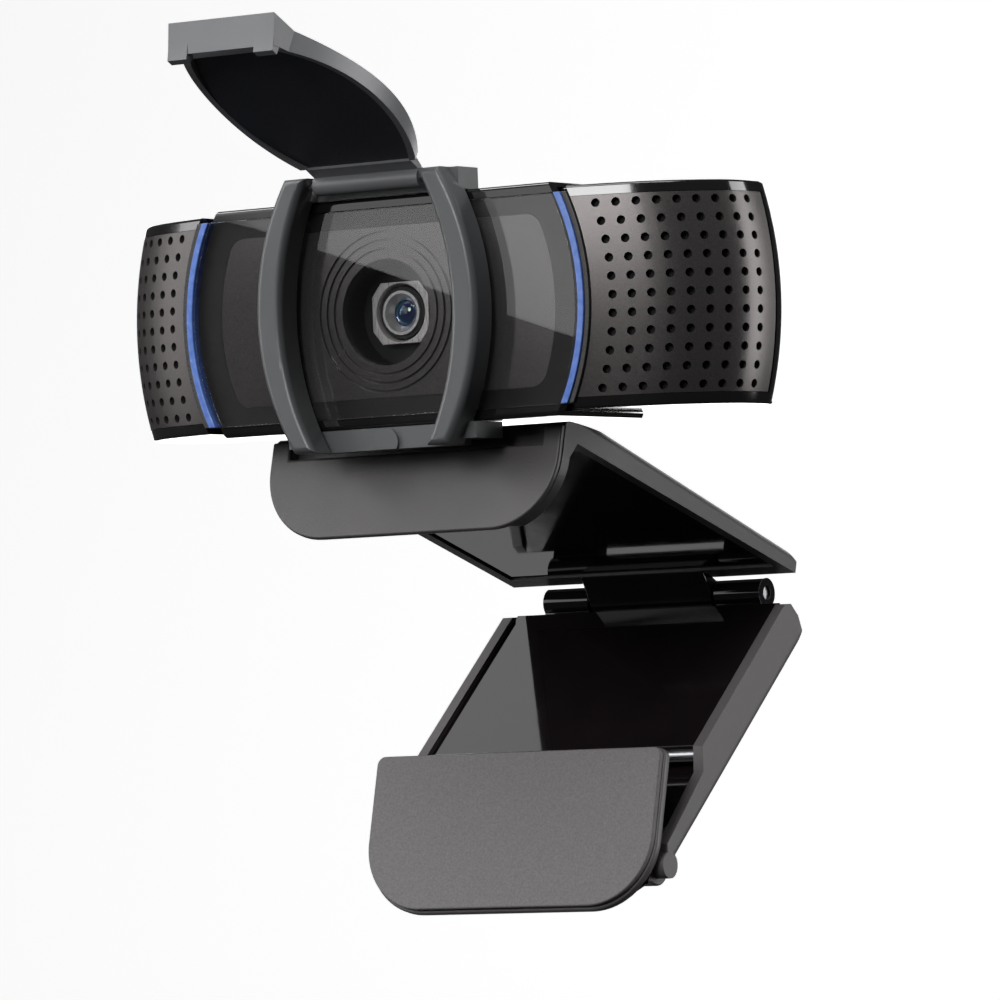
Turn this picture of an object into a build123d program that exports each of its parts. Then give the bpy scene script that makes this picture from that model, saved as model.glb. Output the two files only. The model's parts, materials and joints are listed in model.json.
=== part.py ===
from build123d import *
import math
import os

os.makedirs("parts", exist_ok=True)

# Row frame, millimetres: +X to the right seen from the front, -Y is the front, +Z up.
# The origin is where the top edge of a screen seats, in the inner corner of the clip.
# The frame is square to the head. Planes FACE, SIDE and TOP have their origin at the
# centre of the front window.
WINDOW_Y = -9.8             # front window plane, ahead of the clip's inner corner
HEAD_Z = 17.5               # head centre height above the clip's inner corner
FACE = Plane(origin=(0, WINDOW_Y, HEAD_Z), x_dir=(1, 0, 0), z_dir=(0, -1, 0))
SIDE = Plane(origin=(0, WINDOW_Y, HEAD_Z), x_dir=(0, 1, 0), z_dir=(1, 0, 0))
TOP = Plane(origin=(0, WINDOW_Y, HEAD_Z), x_dir=(1, 0, 0), z_dir=(0, 0, 1))
LENS_AXIS = Axis((0, WINDOW_Y, HEAD_Z), (0, 1, 0))

FIT = 0.05                  # gap between pieces that are fixed together
MOVE = 0.35                 # gap between pieces that move past each other
RUN = 0.05                  # radial gap of a pin turning in a hole

# Head, a body of revolution about the lens axis cut flat above and below
HEAD_R = 47.4               # radius at the widest point
HEAD_DEPTH = 24.0           # window plane to the flat back
CENTRE_Z = 14.5             # half height of the centre block
WING_Z = CENTRE_Z - 0.65    # half height of the wings
STRIP_Z = CENTRE_Z - 1.4    # half height of window, light pipes and rims
WALL = 1.4                  # thickness of the rear shell
SHELL_ROUND = 0.4           # rounding of its upper and lower outline
GRILLE_Z = WING_Z - WALL    # half height of the perforated sheets
SHEET = 0.8                 # thickness of the perforated sheets
CLOTH_T = 0.38              # thickness of the acoustic cloth
SEAM_Y = HEAD_DEPTH - 6.6   # rear end of the grilles
SEAM_GAP = 0.35             # open joint between grille and rear shell
CAP_R = 29.2                # radius where the centre block ends
CAP_Y = 0.5                 # front edge of the centre caps
CAP_END_Y = HEAD_DEPTH - 4.0
CAP_ROUND = 0.6
PIPE_R0 = CAP_R + 0.3       # light pipe, inner and outer radius
PIPE_R1 = PIPE_R0 + 0.9
RIM_R1 = PIPE_R1 + 0.75     # outer radius of the satin rim beside the light pipe
STRIP_END_Y = 3.2           # rear edge of light pipes and rims
PIPE_PROUD = 0.1            # how far the light pipes stand ahead of the window

# Front curve of a wing: share of the way from rim to widest point, depth, slope in degrees
WING_R0 = RIM_R1 - 0.25
WING_CURVE = [(0.0, 0.45, 20), (0.303, 2.2, 23), (0.6545, 5.2, 36), (0.8545, 8.8, 57),
              (1.0, SEAM_Y - 0.9, 90)]

# Holes in the grilles
HOLE_R = 0.55
HOLE_ROWS = 11
ROW_PITCH = 2.29
COLUMN_PITCH = 2.45
FIRST_COLUMN = 3.0          # along the curve from its inner end
LAST_MARGIN = 1.2           # solid edge left at the curve's outer end

# Cord inlet
INLET_Z = 4.0
INLET_R = 2.6
CORD_HOLE_R = 1.9
GLAND_FLANGE_R = 3.3
GLAND_FLANGE_T = 0.8

# Window, mask and ringed panel
WINDOW_T = 1.0
MASK_T = 0.8
PANEL_R = 25.6              # side arcs of the grey panel
PANEL_Z = 10.8
PANEL_CORNER = 2.4
RING_R = [10.05, 8.98, 7.87]
RING_WIDTH = 0.35
RING_DEPTH = 0.3
LENS_OPENING_R = 6.7
CARRIER_T = 1.6
COLLAR_WALL = 1.2           # wall of the collar round the lens opening
COLLAR_Y = WINDOW_T + MASK_T + 4.0

# Lens
BARREL_R = 3.3
LENS_RING_R = 2.8
GLASS_R = 1.6
SHROUD_HALF = BARREL_R + 1.0
SHROUD_Z = BARREL_R + 0.6
SHROUD_FLAT = 2.9           # half length of the shroud's top and bottom edges
SHROUD_SIDE = 2.2           # half length of its upright edges
SHROUD_Y = 4.2              # front of the shroud behind the window plane
BARREL_Y0 = 4.6
RING_PROUD = 0.3            # bright ring ahead of the barrel
RING_SEAT = 1.2             # depth of its seat in the barrel

COIL_HALF = BARREL_R + 1.7
COIL_Y0 = COLLAR_Y + 1.4

# Boards
BOARD_T = 1.0
BOARD_Y = HEAD_DEPTH - 6.0
BOARD_HALF = 32.0
BOARD_Z0 = -10.5
BOARD_Z1 = 11.0
REAR_OF_BOARD = BOARD_Y + BOARD_T
SENSOR_Y = BOARD_Y - 4.6
BARREL_Y1 = SENSOR_Y - 1.4
POST_X = 24.0               # posts and screws of the main board
POST_Z = 9.0
POST_R = 1.8
SCREW_R = 0.8
SCREW_HEAD_R = 1.5
MIC_X = 30.0                # microphones, one in each wing
MIC_R = 2.0
MIC_Y0 = BOARD_Y - 5.4
MIC_Y1 = BOARD_Y - 4.0
LAMP_X = 27.6
CAN_T = 0.3                 # sheet of the shield can

# Tilt hinge, inside the head's floor
TILT_Y = 8.2
TILT_Z = -CENTRE_Z + 3.5
TILT_BACK = 8.0             # how far the head tilts back, degrees
TILT_PIN_R = 1.25
TILT_POST_HALF = 7.0
TILT_CHEEK_X = 9.1          # inner faces of the cradle's cheeks
TILT_CHEEK_T = 3.4
TILT_SWEEP = 3.1            # room round the pin's axis for the post
CRADLE_Y0 = TILT_Y - 3.5
CRADLE_Y1 = TILT_Y + 3.9

# Shutter frame and flap
BRACKET_Y = -3.9            # front face of the two curved brackets
BRACKET_OUT_C = -15.7
BRACKET_OUT_R = 32.5
BRACKET_IN_C = -22.0
BRACKET_IN_R = 35.0
BRACKET_TOP = CENTRE_Z + 2.8
BRACKET_ROUND = 0.9         # rounding of the brackets' front edges
CLAW_TOP_X = 11.2           # middle of the claws over and under the head
CLAW_UNDER_X = 12.6
CLAW_Y = 3.4                # how far back the upper claws reach
FLAP_AXIS_Y = -1.5
FLAP_AXIS_Z = CENTRE_Z + 1.8
FLAP_PIN_HALF = 11.2
FLAP_KNUCKLE_R = 1.25
FLAP_PIN_R = 0.55
FLAP_ANGLE = 28.0           # rise of the open flap towards the front
FLAP_R = 29.0               # side arcs of the flap
FLAP_ARC_C = FLAP_R - 12.0  # their centres, half the flap's width in from the radius
FLAP_ARC_Z = -16.3          # along the flap, where it is widest
FLAP_HALF_END = 8.0
FLAP_HINGE_HALF = 8.0
FLAP_NECK = 3.1             # length along which the flap stays as narrow as its hinge
FLAP_RIM = 0.9
FLAP_T = 2.3
FLAP_RECESS = 29.0          # length and middle of the recess with the dark lining
FLAP_RECESS_MID = -17.5
FLAP_PLANE = Plane(origin=(0, WINDOW_Y + FLAP_AXIS_Y, HEAD_Z + FLAP_AXIS_Z), x_dir=(1, 0, 0),
                   z_dir=(0, math.sin(math.radians(FLAP_ANGLE)), math.cos(math.radians(FLAP_ANGLE))))

# Clip
CLIP_HALF = 22.2            # half width of clip, arm and foot
CLIP_TOP = -CENTRE_Z - 0.4  # top of the clip under the head
LIP_COVER_T = 0.9
LIP_SLOPE = 0.2725          # the lip leans forward going down
LIP_Z0 = -27.9
LIP_Z1 = -15.2
LIP_T = 2.6                 # lip cover and lip together
LIP_CORNER = 9.3
SCOOP_HALF = 19.5           # scoop for the shutter's claws in the lip's top
SCOOP_Z = -17.6
SCOOP_Y = 8.3
SLAB_TOP = 0.3462           # fall of the slab's upper face
SLAB_UNDER = 0.321          # fall of its side walls' lower edges
SLAB_FRONT = 12.4           # hollow of the slab
SLAB_END = 57.6
CLIP_SKIN = 1.3
SIDE_WALL = 1.5
FOLD_Y = 61.5
FOLD_Z = -36.3
FOLD_R = 2.0
FOLD_PIN_R = 0.9
FOLD_HALF = 17.0            # half length of the whole hinge
FOLD_CENTRE = 9.6           # half length of the clip's knuckle
ARM_ANGLE = 40.2            # below the horizontal, towards the front
ARM_IN = -1.3               # inner edge, measured from the hinge axis square to the arm
ARM_OUT = 5.05
ARM_TOP = 2.7               # first point of the arm below the hinge axis
ARM_NOTCH = 32.0            # where the side walls drop for the foot
ARM_NOTCH_DEPTH = 2.5
ARM_END = 49.4
ARM_FLOOR = 1.2             # thickness of the tray's floor
ARM_OPEN = 43.5             # where the tray is open for the foot's hinge
TRAY_TOP = -0.7             # upper floor of the lining, square to the arm from the hinge axis
LINER_FLOOR = 2.2           # lower floor of the lining
TRAY_T = 1.1                # thickness of the lining
TRAY_STEP = 31.2            # where the upper floor ends, along the arm
STOP_BAR_R = 0.8
FOOT_Y = 27.5               # foot pivot
FOOT_Z = -70.9
FOOT_EAR_R = 1.7
FOOT_BARREL_R = 2.6
FOOT_PIN_R = 0.8
FOOT_SLOPE = 14.5           # foot pad, from the vertical
FOOT_LENGTH = 21.0
FOOT_TOP_Y = 26.85
FOOT_TOP_Z = -55.7
FOOT_CORNER = 9.3
FOOT_DOWN = 14.6            # foot hinge, down the pad from its top
PAD_T = 0.8
FOOT_T = 2.0                # pad and plate together
THREAD_ALONG = 38.5         # tripod thread, along the arm
INSERT_R = 4.0              # seat of the threaded insert
INSERT_LENGTH = 3.55
TRIPOD_BORE_R = 2.55        # bore of the quarter inch thread


def polar(centre_y, centre_z, angle, distance):
    """Point at a distance from a centre, angle in degrees from +Y towards +Z."""
    a = math.radians(angle)
    return (centre_y + distance * math.cos(a), centre_z + distance * math.sin(a))


def arm_point(along, across):
    """Point in the side view, along the arm from the hinge and square to it, outwards positive."""
    a = math.radians(ARM_ANGLE)
    y = FOLD_Y - along * math.cos(a) + across * math.sin(a)
    z = FOLD_Z - along * math.sin(a) - across * math.cos(a)
    return (y, z)


def foot_point(down, back):
    """Point in the side view, down the foot pad from its top edge and square behind its face."""
    a = math.radians(FOOT_SLOPE)
    y = FOOT_TOP_Y - down * math.sin(a) + back * math.cos(a)
    z = FOOT_TOP_Z - down * math.cos(a) - back * math.sin(a)
    return (y, z)


def flap_point(along, out):
    """Point in the side view, along the open flap from its axis and square to it, outer side positive."""
    a = math.radians(FLAP_ANGLE)
    y = FLAP_AXIS_Y - along * math.cos(a) + out * math.sin(a)
    z = FLAP_AXIS_Z + along * math.sin(a) + out * math.cos(a)
    return (y, z)


def wing_points(inset):
    """Points of the wing's front curve, moved inwards square to the curve."""
    points = []
    for share, y, slope in WING_CURVE:
        r = WING_R0 + share * (HEAD_R - WING_R0)
        a = math.radians(slope)
        points.append((r - inset * math.sin(a), y + inset * math.cos(a)))
    return points


def wing_tangents():
    """Directions of the wing's front curve at its two ends."""
    first = math.radians(WING_CURVE[0][2])
    last = math.radians(WING_CURVE[-1][2])
    return [(math.cos(first), math.sin(first)), (math.cos(last), math.sin(last))]


def add_segment(radius, half_z, depth, start=0.0):
    """Solid with side arcs about the lens axis, cut flat above and below, from start to start + depth."""
    with BuildSketch(FACE.offset(-start)) as shape:
        Circle(radius)
        Rectangle(radius * 4, half_z * 2, mode=Mode.INTERSECT)
    extrude(shape.sketch, amount=-depth)


def side_box(y0, y1, z0, z1, half_x, mode=Mode.ADD):
    """Box centred on X between two depths and two heights."""
    with BuildSketch(SIDE) as shape:
        with Locations(((y0 + y1) / 2, (z0 + z1) / 2)):
            Rectangle(y1 - y0, z1 - z0)
    extrude(shape.sketch, amount=half_x, both=True, mode=mode)


def x_box(x0, x1, y0, y1, z0, z1, mode=Mode.ADD):
    """Box between two values of each direction, measured from the window centre."""
    with BuildSketch(FACE.offset(-y0)) as shape:
        with Locations(((x0 + x1) / 2, (z0 + z1) / 2)):
            Rectangle(x1 - x0, z1 - z0)
    extrude(shape.sketch, amount=-(y1 - y0), mode=mode)


def x_rod(y, z, radius, half_x, mode=Mode.ADD):
    """Round bar along X, centred."""
    with BuildSketch(SIDE) as shape:
        with Locations((y, z)):
            Circle(radius)
    extrude(shape.sketch, amount=half_x, both=True, mode=mode)


def y_rod(x, z, radius, y0, y1, mode=Mode.ADD):
    """Round bar along Y between two depths."""
    with BuildSketch(FACE.offset(-y0)) as shape:
        with Locations((x, z)):
            Circle(radius)
    extrude(shape.sketch, amount=-(y1 - y0), mode=mode)


def shell_profile(inset, half_z):
    """Head body of revolution with its front curve and back, cut at half_z, the grille zone included."""
    points = wing_points(inset)
    back = HEAD_DEPTH - inset
    corner = HEAD_R - inset
    with BuildSketch(TOP) as profile:
        with BuildLine():
            curve = Spline(*points, tangents=wing_tangents())
            straight = Line(curve @ 1, (corner, SEAM_Y + 0.6))
            bend = ThreePointArc(straight @ 1, (corner - 1.7, SEAM_Y + 4.3), (corner - 6.4, back))
            rear = Line(bend @ 1, (0, back))
            middle = Line(rear @ 1, (0, points[0][1]))
            Line(middle @ 1, curve @ 0)
        make_face()
    revolve(profile.sketch, axis=LENS_AXIS, revolution_arc=360)
    with BuildSketch(TOP.offset(-half_z)) as slab:
        Rectangle(HEAD_R * 4, HEAD_R * 4)
    extrude(slab.sketch, amount=half_z * 2, mode=Mode.INTERSECT)


def hinge_pocket():
    """Cut in the head's floor for the tilt hinge."""
    half_x = TILT_CHEEK_X - 0.1
    x_box(-half_x, half_x, TILT_Y - 3.6, TILT_Y + 4.0, -CENTRE_Z - 0.5, -CENTRE_Z + 2.5, mode=Mode.SUBTRACT)


# Rear shell: roof, floor and back of the head in one moulding, open at the front
with BuildPart() as rear_shell:
    shell_profile(0.0, WING_Z)
    with BuildSketch(FACE):
        Rectangle(HEAD_R * 4, GRILLE_Z * 2)
    extrude(amount=-(SEAM_Y + SEAM_GAP), mode=Mode.SUBTRACT)
    with BuildSketch(FACE.offset(-(SEAM_Y + SEAM_GAP))):
        Circle(HEAD_R - WALL)
        Rectangle(HEAD_R * 4, GRILLE_Z * 2, mode=Mode.INTERSECT)
    extrude(amount=-(HEAD_DEPTH - WALL - SEAM_Y - SEAM_GAP), taper=38, mode=Mode.SUBTRACT)
    # front of roof and floor, stepped back for the centre caps, the light pipes and the rims
    with BuildSketch(FACE.offset(1)):
        Circle(RIM_R1 + FIT)
    extrude(amount=-(1 + STRIP_END_Y + FIT), mode=Mode.SUBTRACT)
    hinge_pocket()
    # cord inlet in the back
    y_rod(0, INLET_Z, INLET_R, HEAD_DEPTH - 3, HEAD_DEPTH + 1, mode=Mode.SUBTRACT)
    # rounded outline of roof and floor
    for side in (-1, 0):
        flat = rear_shell.faces().filter_by(Axis.Z).sort_by(Axis.Z)[side]
        behind_strip = WINDOW_Y + STRIP_END_Y
        outline = flat.outer_wire().edges().filter_by(lambda e: e.center().Y > behind_strip)
        fillet(outline, SHELL_ROUND)
rear_shell.part.label = "rear_shell"
export_step(rear_shell.part, "parts/rear_shell.step")


def centre_cap(sign, name, pocket):
    """Glossy cap over the centre block, above for sign 1 and below for sign -1."""
    with BuildPart() as cap:
        for inner_z, end_y in ((WING_Z + FIT, CAP_END_Y), (STRIP_Z + FIT, CAP_Y + 1.6)):
            with BuildSketch(FACE.offset(-CAP_Y)):
                Circle(CAP_R)
                with Locations((0, sign * (inner_z + CENTRE_Z) / 2)):
                    Rectangle(CAP_R * 4, CENTRE_Z - inner_z, mode=Mode.INTERSECT)
            extrude(amount=-(end_y - CAP_Y))
        outer = cap.edges().filter_by(Axis.X).sort_by(Axis.Y)[0:2]
        edge = outer.sort_by(Axis.Z)[-1 if sign > 0 else 0]
        fillet(edge, CAP_ROUND)
        if pocket:
            hinge_pocket()
    cap.part.label = name
    export_step(cap.part, "parts/" + name + ".step")


centre_cap(1, "centre_cap_top", False)
centre_cap(-1, "centre_cap_bottom", True)

# Clear front window
with BuildPart() as front_window:
    add_segment(CAP_R, STRIP_Z, WINDOW_T)
front_window.part.label = "front_window"
export_step(front_window.part, "parts/front_window.step")

# Black mask behind the window, with an opening for the grey panel
with BuildPart() as window_mask:
    add_segment(CAP_R, STRIP_Z, MASK_T, WINDOW_T)
    with BuildSketch(FACE.offset(-WINDOW_T)) as opening:
        Circle(PANEL_R)
        Rectangle(PANEL_R * 4, PANEL_Z * 2, mode=Mode.INTERSECT)
        fillet(opening.vertices(), PANEL_CORNER)
    extrude(amount=-MASK_T, mode=Mode.SUBTRACT)
window_mask.part.label = "window_mask"
export_step(window_mask.part, "parts/window_mask.step")

# Grey panel with three ring grooves round the lens opening
with BuildPart() as ring_panel:
    with BuildSketch(FACE.offset(-WINDOW_T)) as outline:
        Circle(PANEL_R - FIT)
        Rectangle(PANEL_R * 4, (PANEL_Z - FIT) * 2, mode=Mode.INTERSECT)
        fillet(outline.vertices(), PANEL_CORNER - FIT)
    extrude(amount=-MASK_T)
    for ring in RING_R:
        with BuildSketch(FACE.offset(-WINDOW_T)):
            Circle(ring + RING_WIDTH / 2)
            Circle(ring - RING_WIDTH / 2, mode=Mode.SUBTRACT)
        extrude(amount=-RING_DEPTH, mode=Mode.SUBTRACT)
    y_rod(0, 0, LENS_OPENING_R, 0, 4, mode=Mode.SUBTRACT)
ring_panel.part.label = "ring_panel"
export_step(ring_panel.part, "parts/ring_panel.step")

# Carrier plate behind mask and panel, with the collar round the lens opening
with BuildPart() as panel_carrier:
    carrier_y = WINDOW_T + MASK_T
    add_segment(CAP_R, GRILLE_Z - FIT, CARRIER_T, carrier_y)
    y_rod(0, 0, LENS_OPENING_R + COLLAR_WALL, carrier_y, COLLAR_Y + 1.0)
    y_rod(0, 0, LENS_OPENING_R, 0, COLLAR_Y, mode=Mode.SUBTRACT)
    y_rod(0, 0, BARREL_R + 0.6, 0, COLLAR_Y + 2.0, mode=Mode.SUBTRACT)
    for x in (-POST_X, POST_X):
        for z in (-POST_Z, POST_Z):
            y_rod(x, z, POST_R, carrier_y, BOARD_Y)
            y_rod(x, z, SCREW_R, BOARD_Y - 6.0, BOARD_Y, mode=Mode.SUBTRACT)
    for x in (-7.5, 7.5):
        y_rod(x, POST_Z, 1.3, carrier_y, SENSOR_Y)
panel_carrier.part.label = "panel_carrier"
export_step(panel_carrier.part, "parts/panel_carrier.step")


def arc_strip(side, r0, r1, y0, y1, name):
    """Curved strip about the lens axis on one side, -1 left or 1 right."""
    with BuildPart() as strip:
        with BuildSketch(FACE.offset(-y0)):
            Circle(r1)
            Circle(r0, mode=Mode.SUBTRACT)
            with Locations((side * HEAD_R, 0)):
                Rectangle(HEAD_R * 2, STRIP_Z * 2, mode=Mode.INTERSECT)
        extrude(amount=-(y1 - y0))
    strip.part.label = name
    export_step(strip.part, "parts/" + name + ".step")


for side, word in ((-1, "left"), (1, "right")):
    arc_strip(side, PIPE_R0, PIPE_R1, -PIPE_PROUD, STRIP_END_Y, "light_pipe_" + word)
    arc_strip(side, PIPE_R1 + FIT, RIM_R1, PIPE_PROUD, STRIP_END_Y, "satin_rim_" + word)


def grille(side, name):
    """Perforated sheet of one wing, bent to the wing's curve."""
    outer = wing_points(0.0)
    inner = wing_points(SHEET)
    with BuildLine(Plane.XY) as guide:
        Spline(*outer, tangents=wing_tangents())
    guide_curve = guide.edges()[0]
    with BuildPart() as sheet:
        with BuildSketch(TOP):
            with BuildLine():
                front = Spline(*outer, tangents=wing_tangents())
                end = Polyline(front @ 1, (HEAD_R, SEAM_Y), (HEAD_R - SHEET, SEAM_Y), inner[-1])
                back = Spline(*inner, tangents=wing_tangents())
                Line(back @ 0, front @ 0)
            make_face()
            with Locations((0, 10)):
                Rectangle(2 * (RIM_R1 + FIT), 40, mode=Mode.SUBTRACT)
        revolve(axis=LENS_AXIS, revolution_arc=360)
        with BuildSketch(FACE.offset(5)):
            with Locations((side * HEAD_R, 0)):
                Rectangle(HEAD_R * 2, (GRILLE_Z - FIT) * 2)
        extrude(amount=-40, mode=Mode.INTERSECT)
        columns = int((guide_curve.length - FIRST_COLUMN - LAST_MARGIN) / COLUMN_PITCH) + 1
        places = []
        for column in range(columns):
            along = FIRST_COLUMN + column * COLUMN_PITCH
            spot = guide_curve.position_at(along, position_mode=PositionMode.LENGTH)
            slope = guide_curve.tangent_at(along, position_mode=PositionMode.LENGTH)
            for row in range(HOLE_ROWS):
                z = (row - (HOLE_ROWS - 1) / 2) * ROW_PITCH
                x = math.sqrt(spot.X ** 2 - z ** 2)
                normal = (side * slope.Y * x / spot.X, -slope.X, slope.Y * z / spot.X)
                centre = (side * x, WINDOW_Y + spot.Y, HEAD_Z + z)
                places.append(Plane(origin=centre, z_dir=normal))
        with Locations(*places):
            Cylinder(HOLE_R, 4.0, mode=Mode.SUBTRACT)
    sheet.part.label = name
    export_step(sheet.part, "parts/" + name + ".step")


def grille_cloth(side, name):
    """Dark acoustic cloth lying behind one grille."""
    outer = wing_points(SHEET + 0.02)
    inner = wing_points(SHEET + 0.02 + CLOTH_T)
    with BuildPart() as cloth:
        with BuildSketch(TOP):
            with BuildLine():
                front = Spline(*outer, tangents=wing_tangents())
                Line(front @ 1, inner[-1])
                back = Spline(*inner, tangents=wing_tangents())
                Line(back @ 0, front @ 0)
            make_face()
            with Locations((0, 10)):
                Rectangle(2 * (RIM_R1 + 0.3), 40, mode=Mode.SUBTRACT)
        revolve(axis=LENS_AXIS, revolution_arc=360)
        with BuildSketch(FACE.offset(5)):
            with Locations((side * HEAD_R, 0)):
                Rectangle(HEAD_R * 2, (GRILLE_Z - FIT) * 2)
        extrude(amount=-40, mode=Mode.INTERSECT)
    cloth.part.label = name
    export_step(cloth.part, "parts/" + name + ".step")


for side, word in ((-1, "left"), (1, "right")):
    grille(side, "grille_" + word)
    grille_cloth(side, "grille_cloth_" + word)

# Light grey shroud round the lens: eight-sided frame, flat below
with BuildPart() as lens_shroud:
    with BuildSketch(FACE.offset(-SHROUD_Y)):
        with BuildLine():
            Polyline((-SHROUD_FLAT, -SHROUD_Z), (SHROUD_FLAT, -SHROUD_Z), (SHROUD_HALF, -SHROUD_SIDE),
                     (SHROUD_HALF, SHROUD_SIDE), (SHROUD_FLAT, SHROUD_Z), (-SHROUD_FLAT, SHROUD_Z),
                     (-SHROUD_HALF, SHROUD_SIDE), (-SHROUD_HALF, -SHROUD_SIDE), close=True)
        make_face()
        Circle(BARREL_R + 0.2, mode=Mode.SUBTRACT)
    extrude(amount=-(COLLAR_Y - SHROUD_Y))
    with BuildSketch(FACE.offset(-SHROUD_Y)):
        Circle(BARREL_R + 0.45)
    extrude(amount=-0.9, taper=25, mode=Mode.SUBTRACT)
lens_shroud.part.label = "lens_shroud"
export_step(lens_shroud.part, "parts/lens_shroud.step")

# Lens barrel, a stepped tube
with BuildPart() as lens_barrel:
    y_rod(0, 0, BARREL_R, BARREL_Y0, BARREL_Y1)
    y_rod(0, 0, LENS_RING_R + FIT, BARREL_Y0, BARREL_Y0 + RING_SEAT, mode=Mode.SUBTRACT)
    y_rod(0, 0, GLASS_R + FIT, BARREL_Y0, BARREL_Y1, mode=Mode.SUBTRACT)
lens_barrel.part.label = "lens_barrel"
export_step(lens_barrel.part, "parts/lens_barrel.step")

# Bright ring in front of the lens
with BuildPart() as lens_ring:
    y_rod(0, 0, LENS_RING_R, BARREL_Y0 - RING_PROUD, BARREL_Y0 + RING_SEAT)
    with BuildSketch(FACE.offset(-(BARREL_Y0 - RING_PROUD))):
        Circle(LENS_RING_R - 0.35)
    extrude(amount=-1.0, taper=40, mode=Mode.SUBTRACT)
    y_rod(0, 0, GLASS_R + FIT, BARREL_Y0 - 1, BARREL_Y0 + 2, mode=Mode.SUBTRACT)
lens_ring.part.label = "lens_ring"
export_step(lens_ring.part, "parts/lens_ring.step")

# Front lens, domed
with BuildPart() as front_element:
    with BuildSketch(TOP):
        with BuildLine():
            dome = ThreePointArc((0, BARREL_Y0 + 0.2), (1.0, BARREL_Y0 + 0.38), (GLASS_R, BARREL_Y0 + 0.8))
            Polyline(dome @ 1, (GLASS_R, BARREL_Y0 + 2.4), (0, BARREL_Y0 + 2.4), dome @ 0)
        make_face()
    revolve(axis=LENS_AXIS, revolution_arc=360)
front_element.part.label = "front_element"
export_step(front_element.part, "parts/front_element.step")

# Rear lens
with BuildPart() as rear_element:
    y_rod(0, 0, GLASS_R, BARREL_Y1 - 3.0, BARREL_Y1 - 1.2)
rear_element.part.label = "rear_element"
export_step(rear_element.part, "parts/rear_element.step")

# Focus coil housing round the rear of the barrel
with BuildPart() as focus_coil:
    x_box(-COIL_HALF, COIL_HALF, COIL_Y0, SENSOR_Y, -COIL_HALF, COIL_HALF)
    y_rod(0, 0, BARREL_R + FIT, COIL_Y0 - 0.2, BARREL_Y1 + 0.1, mode=Mode.SUBTRACT)
    x_box(-3.0, 3.0, BARREL_Y1, SENSOR_Y, -2.6, 2.6, mode=Mode.SUBTRACT)
focus_coil.part.label = "focus_coil"
export_step(focus_coil.part, "parts/focus_coil.step")

# Image sensor chip
with BuildPart() as image_sensor:
    x_box(-2.6, 2.6, SENSOR_Y - 0.9, SENSOR_Y, -2.2, 2.2)
image_sensor.part.label = "image_sensor"
export_step(image_sensor.part, "parts/image_sensor.step")

# Sensor board
with BuildPart() as sensor_board:
    x_box(-9.5, 9.5, SENSOR_Y, SENSOR_Y + BOARD_T, -8.0, 11.0)
sensor_board.part.label = "sensor_board"
export_step(sensor_board.part, "parts/sensor_board.step")

# Board to board plug between the two boards
with BuildPart() as board_plug:
    x_box(-5.0, 5.0, SENSOR_Y + BOARD_T, BOARD_Y, 6.5, 9.5)
board_plug.part.label = "board_plug"
export_step(board_plug.part, "parts/board_plug.step")

# Main board across the head
with BuildPart() as main_board:
    x_box(-BOARD_HALF, BOARD_HALF, BOARD_Y, REAR_OF_BOARD, BOARD_Z0, BOARD_Z1)
    for x in (-POST_X, POST_X):
        for z in (-POST_Z, POST_Z):
            y_rod(x, z, SCREW_R + 0.1, BOARD_Y - 1, REAR_OF_BOARD + 1, mode=Mode.SUBTRACT)
main_board.part.label = "main_board"
export_step(main_board.part, "parts/main_board.step")

# Screws that hold the main board to the carrier's posts
with BuildPart() as board_screws:
    for x in (-POST_X, POST_X):
        for z in (-POST_Z, POST_Z):
            y_rod(x, z, SCREW_R - FIT, BOARD_Y - 5.0, REAR_OF_BOARD)
            y_rod(x, z, SCREW_HEAD_R, REAR_OF_BOARD, REAR_OF_BOARD + 0.9)
            x_box(x - 1.1, x + 1.1, REAR_OF_BOARD + 0.5, REAR_OF_BOARD + 1.0, z - 0.15, z + 0.15,
                  mode=Mode.SUBTRACT)
board_screws.part.label = "board_screws"
export_step(board_screws.part, "parts/board_screws.step")

# Pressed can over the video processor
with BuildPart() as shield_can:
    x_box(9.0, 22.0, REAR_OF_BOARD, REAR_OF_BOARD + 2.0, -6.0, 6.0)
    x_box(9.0 + CAN_T, 22.0 - CAN_T, REAR_OF_BOARD, REAR_OF_BOARD + 2.0 - CAN_T, -6.0 + CAN_T, 6.0 - CAN_T,
          mode=Mode.SUBTRACT)
shield_can.part.label = "shield_can"
export_step(shield_can.part, "parts/shield_can.step")

# Socket for the cord's wires on the main board
with BuildPart() as cord_socket:
    x_box(-21.0, -13.0, REAR_OF_BOARD, REAR_OF_BOARD + 2.8, -2.0, 2.0)
    x_box(-20.2, -13.8, REAR_OF_BOARD + 1.0, REAR_OF_BOARD + 3.0, -1.2, 1.2, mode=Mode.SUBTRACT)
cord_socket.part.label = "cord_socket"
export_step(cord_socket.part, "parts/cord_socket.step")

# Gland where the cord enters the back of the head
with BuildPart() as cord_gland:
    inside_y = HEAD_DEPTH - WALL
    y_rod(0, INLET_Z, INLET_R - FIT, inside_y - GLAND_FLANGE_T, HEAD_DEPTH)
    y_rod(0, INLET_Z, GLAND_FLANGE_R, inside_y - GLAND_FLANGE_T, inside_y - 0.01)
    y_rod(0, INLET_Z, CORD_HOLE_R, HEAD_DEPTH - 3, HEAD_DEPTH + 1, mode=Mode.SUBTRACT)
cord_gland.part.label = "cord_gland"
export_step(cord_gland.part, "parts/cord_gland.step")


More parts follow.
